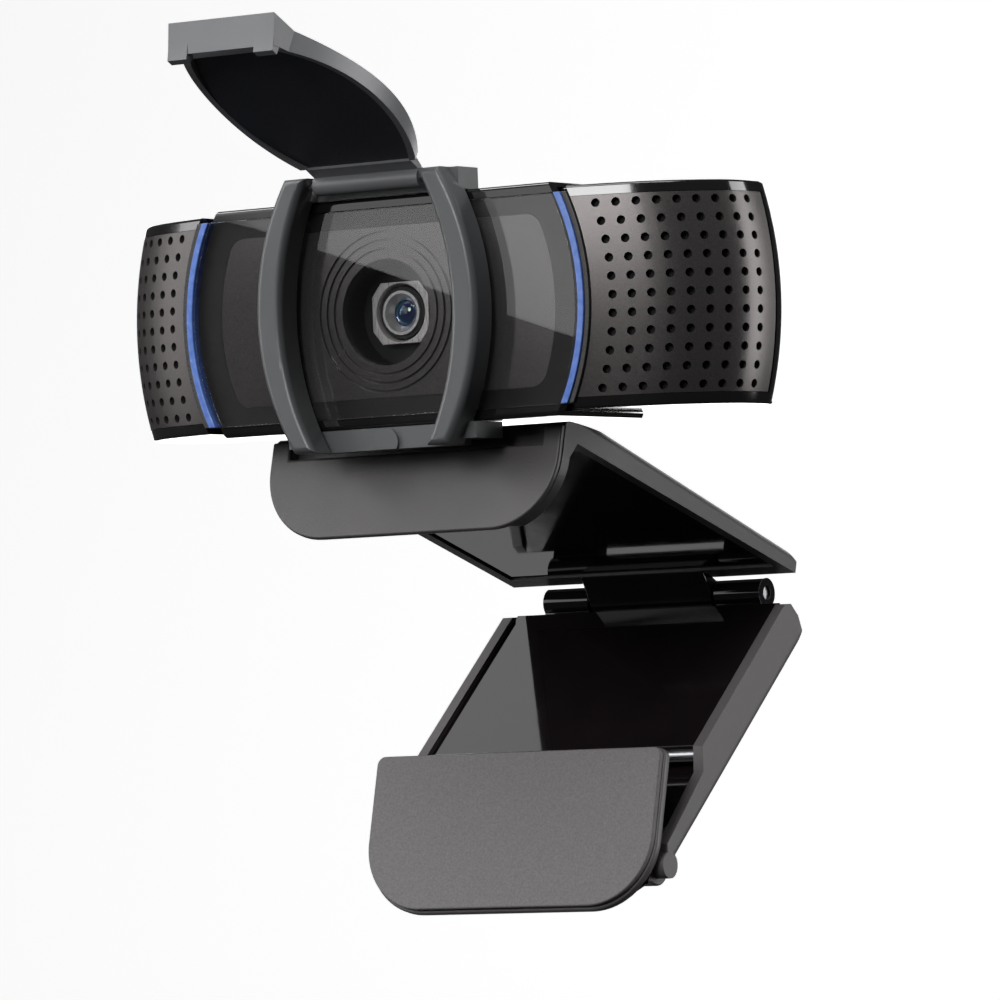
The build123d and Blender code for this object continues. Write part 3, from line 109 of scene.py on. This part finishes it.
class Paint:
    """A node material being built, with a Principled shader and object coordinates in millimetres."""

    def __init__(self, name, colour, roughness, metallic=0.0):
        self.material = bpy.data.materials.new(name)
        self.material.use_nodes = True
        self.tree = self.material.node_tree
        self.shader = self.tree.nodes["Principled BSDF"]
        self.set("Base Color", opaque(colour))
        self.set("Roughness", roughness)
        self.set("Metallic", metallic)
        place = self.tree.nodes.new("ShaderNodeTexCoord")
        scale = self.tree.nodes.new("ShaderNodeMapping")
        scale.inputs["Scale"].default_value = (1 / MM, 1 / MM, 1 / MM)
        self.link(place.outputs["Object"], scale.inputs["Vector"])
        self.mm = scale.outputs["Vector"]
        MADE[name] = self.material

    def set(self, socket, value):
        self.shader.inputs[socket].default_value = value

    def link(self, start, end):
        self.tree.links.new(start, end)

    def stretched(self, x, y, z):
        """Coordinates scaled by a factor along each axis."""
        node = self.tree.nodes.new("ShaderNodeMapping")
        node.inputs["Scale"].default_value = (x, y, z)
        self.link(self.mm, node.inputs["Vector"])
        return node.outputs["Vector"]

    def noise(self, scale, detail, where=None):
        node = self.tree.nodes.new("ShaderNodeTexNoise")
        node.inputs["Scale"].default_value = scale
        node.inputs["Detail"].default_value = detail
        self.link(where or self.mm, node.inputs["Vector"])
        return node.outputs["Fac"]

    def cells(self, scale):
        node = self.tree.nodes.new("ShaderNodeTexVoronoi")
        node.feature = "SMOOTH_F1"
        node.inputs["Scale"].default_value = scale
        self.link(self.mm, node.inputs["Vector"])
        return node.outputs["Distance"]

    def wave(self, scale, axis):
        node = self.tree.nodes.new("ShaderNodeTexWave")
        node.bands_direction = axis
        node.inputs["Scale"].default_value = scale
        self.link(self.mm, node.inputs["Vector"])
        return node.outputs["Fac"]

    def spread(self, value, low, high):
        """The usual span of a texture value, spread over low to high."""
        node = self.tree.nodes.new("ShaderNodeMapRange")
        node.inputs["From Min"].default_value = TEXTURE_LOW
        node.inputs["From Max"].default_value = TEXTURE_HIGH
        node.inputs["To Min"].default_value = low
        node.inputs["To Max"].default_value = high
        self.link(value, node.inputs["Value"])
        return node.outputs["Result"]

    def mottle(self, value, dark, light):
        """Base colour between two colours, by a texture value."""
        node = self.tree.nodes.new("ShaderNodeMix")
        node.data_type = "RGBA"
        node.inputs[MIX_A].default_value = opaque(dark)
        node.inputs[MIX_B].default_value = opaque(light)
        self.link(self.spread(value, 0.0, 1.0), node.inputs[MIX_FACTOR])
        self.link(node.outputs[MIX_RESULT], self.shader.inputs["Base Color"])

    def rough(self, value, low, high):
        self.link(self.spread(value, low, high), self.shader.inputs["Roughness"])

    def bump(self, value, depth_mm):
        node = self.tree.nodes.new("ShaderNodeBump")
        node.inputs["Strength"].default_value = 1.0
        node.inputs["Distance"].default_value = depth_mm * MM
        self.link(value, node.inputs["Height"])
        self.link(node.outputs["Normal"], self.shader.inputs["Normal"])


def shade(colour, factor):
    return tuple(c * factor for c in colour)


SATIN_CONTRAST = 0.08            # share of the tone
SATIN_SPREAD = 0.05              # of the roughness
GLOSS_SPREAD = 0.05
GRAIN_DEPTH = 0.012              # mm
RIPPLE_DEPTH = 0.004


def satin(name, colour, roughness, grain=3.0, depth=GRAIN_DEPTH):
    """Spark-eroded moulded plastic: fine grain, with slight change of tone and gloss."""
    paint = Paint(name, colour, roughness)
    fine = paint.noise(grain, 3.0)
    broad = paint.noise(0.06, 2.0)
    paint.mottle(broad, shade(colour, 1 - SATIN_CONTRAST), shade(colour, 1 + SATIN_CONTRAST))
    paint.rough(fine, roughness - SATIN_SPREAD, roughness + SATIN_SPREAD)
    paint.bump(fine, depth)


def gloss(name, colour, roughness):
    """Polished black plastic with a clear coat and the faint ripple of a moulding."""
    paint = Paint(name, colour, roughness)
    paint.set("Coat Weight", 0.35)
    paint.set("Coat Roughness", 0.03)
    smudge = paint.noise(0.12, 4.0)
    paint.mottle(smudge, shade(colour, 0.85), shade(colour, 1.15))
    paint.rough(smudge, roughness, roughness + GLOSS_SPREAD)
    paint.bump(paint.noise(0.25, 1.0), RIPPLE_DEPTH)


def metal(name, colour, roughness, along):
    """Brushed or turned metal, its lines along the axis with the smallest factor."""
    paint = Paint(name, colour, roughness, 1.0)
    lines = paint.noise(6.0, 3.0, paint.stretched(*along))
    paint.mottle(lines, shade(colour, 0.85), shade(colour, 1.1))
    paint.rough(lines, roughness * 0.7, roughness * 1.4)
    paint.bump(lines, RIPPLE_DEPTH)


def make_materials():
    satin("carrier_black", (0.018, 0.018, 0.02), 0.5)
    satin("frame_satin", (0.076, 0.08, 0.083), 0.36, 4.0, 0.01)
    # the shutter frame's dark satin plastic made about 1.75 times lighter: painted light for the lit tip
    # of the flap
    satin("flap_satin", (0.135, 0.138, 0.145), 0.36, 4.0, 0.01)
    satin("flap_inner_dark", (0.02, 0.021, 0.026), 0.5, 5.0, 0.02)
    satin("clip_satin", (0.052, 0.0475, 0.0485), 0.42, 3.5, 0.016)
    # the clip's satin plastic made about twice as light: painted light for the lit right-hand side of the
    # arm
    satin("arm_satin_painted_light", (0.1, 0.092, 0.094), 0.42, 3.5, 0.016)
    satin("coil_black", (0.02, 0.02, 0.022), 0.5)
    satin("connector_cream", (0.62, 0.58, 0.5), 0.45)
    gloss("shell_gloss", (0.009, 0.0085, 0.0085), 0.09)
    gloss("cap_gloss", (0.008, 0.0075, 0.008), 0.07)
    gloss("clip_gloss", (0.008, 0.006, 0.0065), 0.04)
    gloss("chip_glass", (0.02, 0.015, 0.05), 0.03)
    metal("steel_bar", (0.55, 0.55, 0.57), 0.3, (0.05, 1, 1))
    metal("steel_plate", (0.5, 0.5, 0.52), 0.35, (0.06, 1, 1))
    metal("tinned_sheet", (0.66, 0.66, 0.65), 0.28, (0.3, 1, 1))
    metal("capsule_metal", (0.68, 0.68, 0.69), 0.3, (1, 1, 0.2))
    metal("insert_brass", (0.68, 0.48, 0.2), 0.25, (0.2, 1, 1))

    panel = Paint("panel_grey", (0.2, 0.187, 0.188), 0.12, 0.62)
    weave = panel.noise(7.0, 2.0)
    panel.mottle(weave, (0.17, 0.158, 0.16), (0.23, 0.216, 0.218))
    panel.rough(weave, 0.08, 0.16)
    panel.bump(weave, 0.0015)

    shroud = Paint("shroud_metal", (0.8, 0.77, 0.76), 0.3, 0.35)
    turned = shroud.noise(6.0, 3.0, shroud.stretched(1, 1, 0.1))
    shroud.mottle(turned, (0.66, 0.64, 0.63), (0.86, 0.84, 0.83))
    shroud.rough(turned, 0.24, 0.36)

    chrome = Paint("ring_chrome", (0.9, 0.9, 0.91), 0.2, 0.6)
    lathe = chrome.noise(6.0, 3.0, chrome.stretched(1, 0.2, 1))
    chrome.mottle(lathe, (0.82, 0.82, 0.83), (0.95, 0.95, 0.96))
    chrome.rough(lathe, 0.14, 0.26)

    mask = Paint("mask_black", (0.006, 0.005, 0.005), 0.5)
    mask.mottle(mask.noise(0.2, 2.0), (0.005, 0.004, 0.004), (0.007, 0.006, 0.006))
    mask.rough(mask.noise(1.0, 2.0), 0.45, 0.55)

    glass = Paint("window_clear", (0.004, 0.004, 0.004), 0.0)
    glass.set("Alpha", 0.22)
    glass.set("IOR", 2.5)
    smear = glass.noise(0.1, 3.0)
    glass.mottle(smear, (0.003, 0.003, 0.003), (0.005, 0.005, 0.005))
    glass.rough(smear, 0.0, 0.015)

    coated = Paint("lens_coated", (0.02, 0.1, 0.14), 0.03)
    coated.set("IOR", 1.6)
    coated.set("Coat Weight", 1.0)
    coated.set("Coat Roughness", 0.01)
    coated.set("Coat IOR", 1.9)
    coated.set("Coat Tint", (0.35, 0.85, 0.9, 1.0))
    coated.set("Thin Film Thickness", 420.0)
    coated.mottle(coated.noise(0.55, 1.0), (0.01, 0.13, 0.2), (0.16, 0.03, 0.16))
    coated.rough(coated.noise(2.0, 1.0), 0.02, 0.05)

    pipe = Paint("pipe_blue", (0.07, 0.15, 0.5), 0.22)
    pipe.set("Subsurface Weight", 0.3)
    pipe.set("Subsurface Radius", (0.0004, 0.0006, 0.0012))
    pipe.set("Coat Weight", 0.3)
    cloudy = pipe.noise(0.8, 2.0)
    pipe.mottle(cloudy, (0.075, 0.155, 0.46), (0.12, 0.22, 0.58))
    pipe.rough(cloudy, 0.18, 0.28)

    rim = Paint("rim_satin", (0.05, 0.048, 0.048), 0.3, 0.5)
    rim.mottle(rim.noise(1.0, 2.0), (0.045, 0.043, 0.043), (0.058, 0.056, 0.056))
    rim.rough(rim.noise(5.0, 2.0), 0.26, 0.36)

    grille = Paint("grille_metal", (0.085, 0.078, 0.077), 0.36, 0.7)
    flecks = grille.noise(6.0, 3.0)
    grille.mottle(flecks, (0.072, 0.066, 0.065), (0.098, 0.09, 0.089))
    grille.rough(flecks, 0.3, 0.4)
    grille.bump(flecks, 0.006)

    cloth = Paint("cloth_black", (0.008, 0.008, 0.008), 0.9)
    threads = cloth.tree.nodes.new("ShaderNodeMath")
    threads.operation = "MAXIMUM"
    cloth.link(cloth.wave(1.6, "X"), threads.inputs[0])
    cloth.link(cloth.wave(1.6, "Z"), threads.inputs[1])
    cloth.mottle(threads.outputs[0], (0.004, 0.004, 0.004), (0.014, 0.014, 0.014))
    cloth.bump(threads.outputs[0], 0.05)

    rubber = Paint("rubber_black", (0.022, 0.022, 0.022), 0.7)
    pores = rubber.noise(4.0, 3.0)
    rubber.mottle(pores, (0.018, 0.018, 0.018), (0.028, 0.028, 0.028))
    rubber.rough(pores, 0.6, 0.8)
    rubber.bump(pores, 0.015)

    pad = Paint("pad_rubber", (0.13, 0.121, 0.123), 0.62)
    dimples = pad.noise(3.6, 3.0)
    pad.mottle(dimples, (0.1, 0.093, 0.095), (0.158, 0.148, 0.15))
    pad.rough(dimples, 0.55, 0.7)
    pad.bump(dimples, 0.04)

    board = Paint("board_green", (0.01, 0.1, 0.05), 0.35)
    tracks = board.cells(0.5)
    board.mottle(tracks, (0.008, 0.08, 0.04), (0.02, 0.16, 0.08))
    board.bump(tracks, 0.02)


NODES_IN = {
    "shell_gloss": ("rear_shell",),
    "cap_gloss": ("centre_cap_top", "centre_cap_bottom"),
    "window_clear": ("front_window",),
    "mask_black": ("window_mask",),
    "panel_grey": ("ring_panel",),
    "carrier_black": ("panel_carrier", "lens_barrel", "tilt_cradle", "tilt_post"),
    "pipe_blue": ("light_pipe_left", "light_pipe_right"),
    "rim_satin": ("satin_rim_left", "satin_rim_right"),
    "grille_metal": ("grille_left", "grille_right"),
    "cloth_black": ("grille_cloth_left", "grille_cloth_right"),
    "shroud_metal": ("lens_shroud",),
    "ring_chrome": ("lens_ring",),
    "lens_coated": ("front_element", "rear_element"),
    "coil_black": ("focus_coil",),
    "chip_glass": ("image_sensor",),
    "board_green": ("sensor_board", "main_board"),
    "connector_cream": ("board_plug", "cord_socket", "status_lamp_left", "status_lamp_right"),
    "steel_plate": ("board_screws", "ballast_plate", "tilt_washers"),
    "tinned_sheet": ("shield_can",),
    "rubber_black": ("cord_gland", "mic_boot_left", "mic_boot_right", "shutter_pads", "lip_pad"),
    "capsule_metal": ("mic_capsule_left", "mic_capsule_right"),
    "steel_bar": ("tilt_pin", "flap_pin", "fold_pin", "arm_stop_bar", "foot_pin"),
    "frame_satin": ("shutter_frame",),
    "flap_satin": ("shutter_flap",),
    "flap_inner_dark": ("flap_lining",),
    "clip_satin": ("clip_shell", "lip_cover"),
    "clip_gloss": ("clip_liner", "clip_knuckle", "arm_liner", "arm_knuckles"),
    "arm_satin_painted_light": ("arm_shell", "foot_plate"),
    "insert_brass": ("tripod_insert",),
    "pad_rubber": ("foot_pad",),
}
MATERIAL_OF = {node: material for material, nodes in NODES_IN.items() for node in nodes}


def paint_nodes():
    for name, node in NODES.items():
        node.data.materials.clear()
        node.data.materials.append(MADE[MATERIAL_OF[name]])


# ---------------------------------------------------------------- pieces

BODY_OF = {node: body for body, nodes in frame["record"]["behaviour"]["bodies"].items() for node in nodes}


def add_piece(name, mesh, node):
    """Object made from a mesh, in the material of a CAD node, riding on that node's body."""
    piece = bpy.data.objects.new(name, mesh)
    bpy.context.scene.collection.objects.link(piece)
    mesh.materials.clear()
    mesh.materials.append(MADE[MATERIAL_OF[node]])
    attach(piece, BODY_OF[node])
    return piece


WINDOW_SHARE = 0.96              # the shown window's share of its thickness, to stay clear of the mask
MERGE_DISTANCE = 1e-6            # metres
FLAT_ANGLE = math.radians(0.6)   # faces that meet at less are joined
SHARP_ANGLE = math.radians(28.0)  # edges that turn more are rounded
ROUND_SEGMENTS = 3


def softened(node, radius_mm):
    """Stands for a CAD node: the same shape with its edges rounded."""
    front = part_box(node)[0][1]
    mesh = NODES[node].data.copy()
    work = bmesh.new()
    work.from_mesh(mesh)
    bmesh.ops.remove_doubles(work, verts=work.verts, dist=MERGE_DISTANCE)
    bmesh.ops.dissolve_limit(work, angle_limit=FLAT_ANGLE, verts=work.verts, edges=work.edges)
    edges = [e for e in work.edges if len(e.link_faces) == 2 and e.calc_face_angle(0.0) > SHARP_ANGLE]
    bmesh.ops.bevel(work, geom=edges, offset=radius_mm * MM, segments=ROUND_SEGMENTS, profile=0.5,
                    affect="EDGES", clamp_overlap=True, loop_slide=True)
    for face in work.faces:
        face.smooth = True
    if node == "front_window":
        for vert in work.verts:
            vert.co.y = front + (vert.co.y - front) * WINDOW_SHARE
    work.to_mesh(mesh)
    work.free()
    mesh.name = node + "_soft"
    piece = add_piece(node + "_soft", mesh, node)
    weighted = piece.modifiers.new("normals", "WEIGHTED_NORMAL")
    weighted.keep_sharp = True
    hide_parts(node)


THREAD_PITCH = 1.27              # all in mm
THREAD_INNER_R = 2.55
THREAD_OUTER_R = 3.1
THREAD_FADE = 0.4                # the thread runs out over this length at each end
CREST_GAIN = 1.3                 # steeper flanks, cut off at crest and root
CREST_SHIFT = 0.15
INSERT_R = 3.95
INSERT_CHAMFER = 0.2
MOUTH_STEP = 0.1
THREAD_STEPS = 72                # points around
THREAD_ROWS = 60                 # rings along


def threaded_insert():
    """Brass insert with a real screw thread inside and a plain turned outside."""
    mount = next(m for m in frame["record"]["mounts"] if m["name"] == "tripod_thread")
    axis = Vector(mount["axis"]).normalized()
    length = mount["dims"]["length_mm"]
    across = Vector((1, 0, 0))
    other = axis.cross(across)
    centre = Vector(mount["pos_m"])
    work = bmesh.new()

    def ring(height, radius_at):
        ring_verts = []
        for i in range(THREAD_STEPS):
            angle = 2 * math.pi * i / THREAD_STEPS
            radius = radius_at(angle)
            offset = (across * math.cos(angle) * radius + other * math.sin(angle) * radius
                      + axis * height)
            ring_verts.append(work.verts.new(centre + offset * MM))
        return ring_verts

    def thread_radius(height):
        def at(angle):
            phase = (height / THREAD_PITCH - angle / (2 * math.pi)) % 1.0
            rise = 1 - abs(phase * 2 - 1)
            depth = max(0.0, min(1.0, rise * CREST_GAIN - CREST_SHIFT))
            fade = min(1.0, (length / 2 - abs(height)) / THREAD_FADE)
            return THREAD_INNER_R + (THREAD_OUTER_R - THREAD_INNER_R) * depth * fade
        return at

    rings = []
    for k in range(THREAD_ROWS + 1):
        height = -length / 2 + length * k / THREAD_ROWS
        rings.append(ring(height, thread_radius(height)))
    rings.append(ring(length / 2, lambda angle: THREAD_OUTER_R + MOUTH_STEP))
    rings.append(ring(length / 2, lambda angle: INSERT_R - INSERT_CHAMFER))
    rings.append(ring(length / 2 - INSERT_CHAMFER, lambda angle: INSERT_R))
    rings.append(ring(-length / 2, lambda angle: INSERT_R))
    rings.append(rings[0])
    for below, above in zip(rings, rings[1:]):
        for i in range(THREAD_STEPS):
            j = (i + 1) % THREAD_STEPS
            work.faces.new((below[i], below[j], above[j], above[i]))
    bmesh.ops.recalc_face_normals(work, faces=work.faces)
    for face in work.faces:
        face.smooth = True
    mesh = bpy.data.meshes.new("tripod_insert_threaded")
    work.to_mesh(mesh)
    work.free()
    piece = add_piece("tripod_insert_threaded", mesh, "tripod_insert")
    piece.modifiers.new("normals", "WEIGHTED_NORMAL")
    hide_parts("tripod_insert")


ROUNDED = {                      # CAD node: radius of its edges, mm
    "shutter_frame": 0.3,
    "shutter_flap": 0.25,
    "lip_cover": 0.3,
    "clip_shell": 0.3,
    "arm_shell": 0.25,
    "foot_plate": 0.3,
    "foot_pad": 0.25,
    "front_window": 0.12,
    "lens_shroud": 0.12,
    "light_pipe_left": 0.12,
    "light_pipe_right": 0.12,
    "satin_rim_left": 0.12,
    "satin_rim_right": 0.12,
    "clip_knuckle": 0.25,
    "arm_knuckles": 0.25,
    "arm_liner": 0.2,
    "clip_liner": 0.15,
}


# ---------------------------------------------------------------- floor and light

FLOOR_Z = -0.16                  # all in metres
FLOOR_FRONT = -0.9
FLOOR_BACK = 1.6
SWEEP_R = 0.5
SWEEP_STEPS = 12
WALL_TOP = 2.2
FLOOR_HALF = 2.2
FLOOR_GLOW = 0.75
FLOOR_TONE = (0.85, 0.85, 0.85)


def floor_material():
    material = bpy.data.materials.new("floor_white")
    material.use_nodes = True
    inputs = material.node_tree.nodes["Principled BSDF"].inputs
    inputs["Base Color"].default_value = opaque(FLOOR_TONE)
    inputs["Roughness"].default_value = 0.9
    inputs["Emission Color"].default_value = opaque((1.0, 1.0, 1.0))
    inputs["Emission Strength"].default_value = FLOOR_GLOW
    return material


def make_floor():
    """Pale floor that sweeps up into a wall behind the object."""
    outline = [(FLOOR_FRONT, FLOOR_Z)]
    for k in range(SWEEP_STEPS + 1):
        a = math.radians(90 * k / SWEEP_STEPS)
        outline.append((FLOOR_BACK - SWEEP_R + SWEEP_R * math.sin(a),
                        FLOOR_Z + SWEEP_R - SWEEP_R * math.cos(a)))
    outline.append((FLOOR_BACK, WALL_TOP))
    mesh = bpy.data.meshes.new("floor")
    verts = [(x, y, z) for y, z in outline for x in (-FLOOR_HALF, FLOOR_HALF)]
    faces = [(2 * i, 2 * i + 1, 2 * i + 3, 2 * i + 2) for i in range(len(outline) - 1)]
    mesh.from_pydata(verts, [], faces)
    for face in mesh.polygons:
        face.use_smooth = True
    mesh.materials.append(floor_material())
    floor = bpy.data.objects.new("floor", mesh)
    bpy.context.scene.collection.objects.link(floor)
    floor.visible_glossy = False
    floor.visible_diffuse = False


def area_light(name, width, height, radiance, place, facing):
    """Rectangular softbox of a given radiance, turned by the matrix facing."""
    data = bpy.data.lights.new(name, "AREA")
    data.shape = "RECTANGLE"
    data.size = width
    data.size_y = height
    data.energy = radiance * math.pi * width * height
    light = bpy.data.objects.new(name, data)
    bpy.context.scene.collection.objects.link(light)
    light.matrix_world = Matrix.Translation(place) @ facing
    light.visible_camera = False


def softbox(name, place, width, height, radiance):
    """Softbox that faces the front window."""
    facing = (WINDOW_CENTRE - Vector(place)).to_track_quat("-Z", "Y").to_matrix().to_4x4()
    area_light(name, width, height, radiance, place, facing)


def mirrored(vector, plane_y=0.0):
    """Mirror image of a point or direction in the front window, or in a plane parallel to it."""
    return Vector((vector.x, 2 * plane_y - vector.y, vector.z))


CARD_DEPTH = 0.6          # metres that the card's reflection lies behind the window
CARD_WIDTH = 0.5          # metres
CARD_HEIGHT = 0.34
CARD_TILT = -18.8         # fall of the reflected edge to the right, degrees
CARD_RADIANCE = 1.5
CARD_EDGE_UP = 1.1 * MM   # where the edge crosses the window's centre line, above the centre


def window_card(radiance):
    """Softbox whose lower edge is reflected as a diagonal across the front window."""
    right, up, _ = CAMERA_AXES
    scale = (CAMERA_DISTANCE + CARD_DEPTH) / CAMERA_DISTANCE
    edge = CAMERA_PLACE + (WINDOW_CENTRE + up * CARD_EDGE_UP - CAMERA_PLACE) * scale
    tilt = math.radians(CARD_TILT)
    across = up * math.cos(tilt) - right * math.sin(tilt)
    centre = mirrored(edge + across * CARD_HEIGHT / 2, WINDOW_CENTRE.y)
    z_axis = (centre - WINDOW_CENTRE).normalized()
    x_axis = mirrored(across).cross(z_axis).normalized()
    y_axis = z_axis.cross(x_axis)
    area_light("window_card", CARD_WIDTH, CARD_HEIGHT, radiance, centre,
               Matrix((x_axis, y_axis, z_axis)).transposed().to_4x4())


SOFTBOXES = (
    # name, place, width, height (metres), radiance
    ("overhead", (0.15, -0.35, 0.95), 0.8, 0.6, 5.0),
    ("front_left", (-0.9, -0.5, 0.35), 0.5, 0.8, 4.5),
    ("front", (0.1, -1.0, 0.42), 0.3, 0.4, 14.0),
    ("side_right", (0.85, 0.62, 0.15), 0.5, 0.9, 5.5),
    ("tray_card", (-0.78, 0.12, 0.9), 0.35, 0.5, 1.1),
    ("edge_strip", (-0.6, -0.28, 0.85), 0.15, 0.3, 14.0),
    ("under_left", (-0.62, 0.68, -0.55), 0.3, 0.3, 0.35),
    ("rear_fill", (-0.4, 0.95, 0.2), 0.8, 0.6, 2.5),
)
WORLD_TONE = (0.035, 0.035, 0.036)


def make_lights():
    for box in SOFTBOXES:
        softbox(*box)
    window_card(CARD_RADIANCE)
    world = bpy.data.worlds.new("studio")
    world.use_nodes = True
    world.node_tree.nodes["Background"].inputs["Color"].default_value = opaque(WORLD_TONE)
    bpy.context.scene.world = world
    bpy.context.scene.view_settings.view_transform = "Standard"


make_camera()
make_materials()
paint_nodes()
for rounded_node, rounded_radius in ROUNDED.items():
    softened(rounded_node, rounded_radius)
threaded_insert()
make_floor()
make_lights()
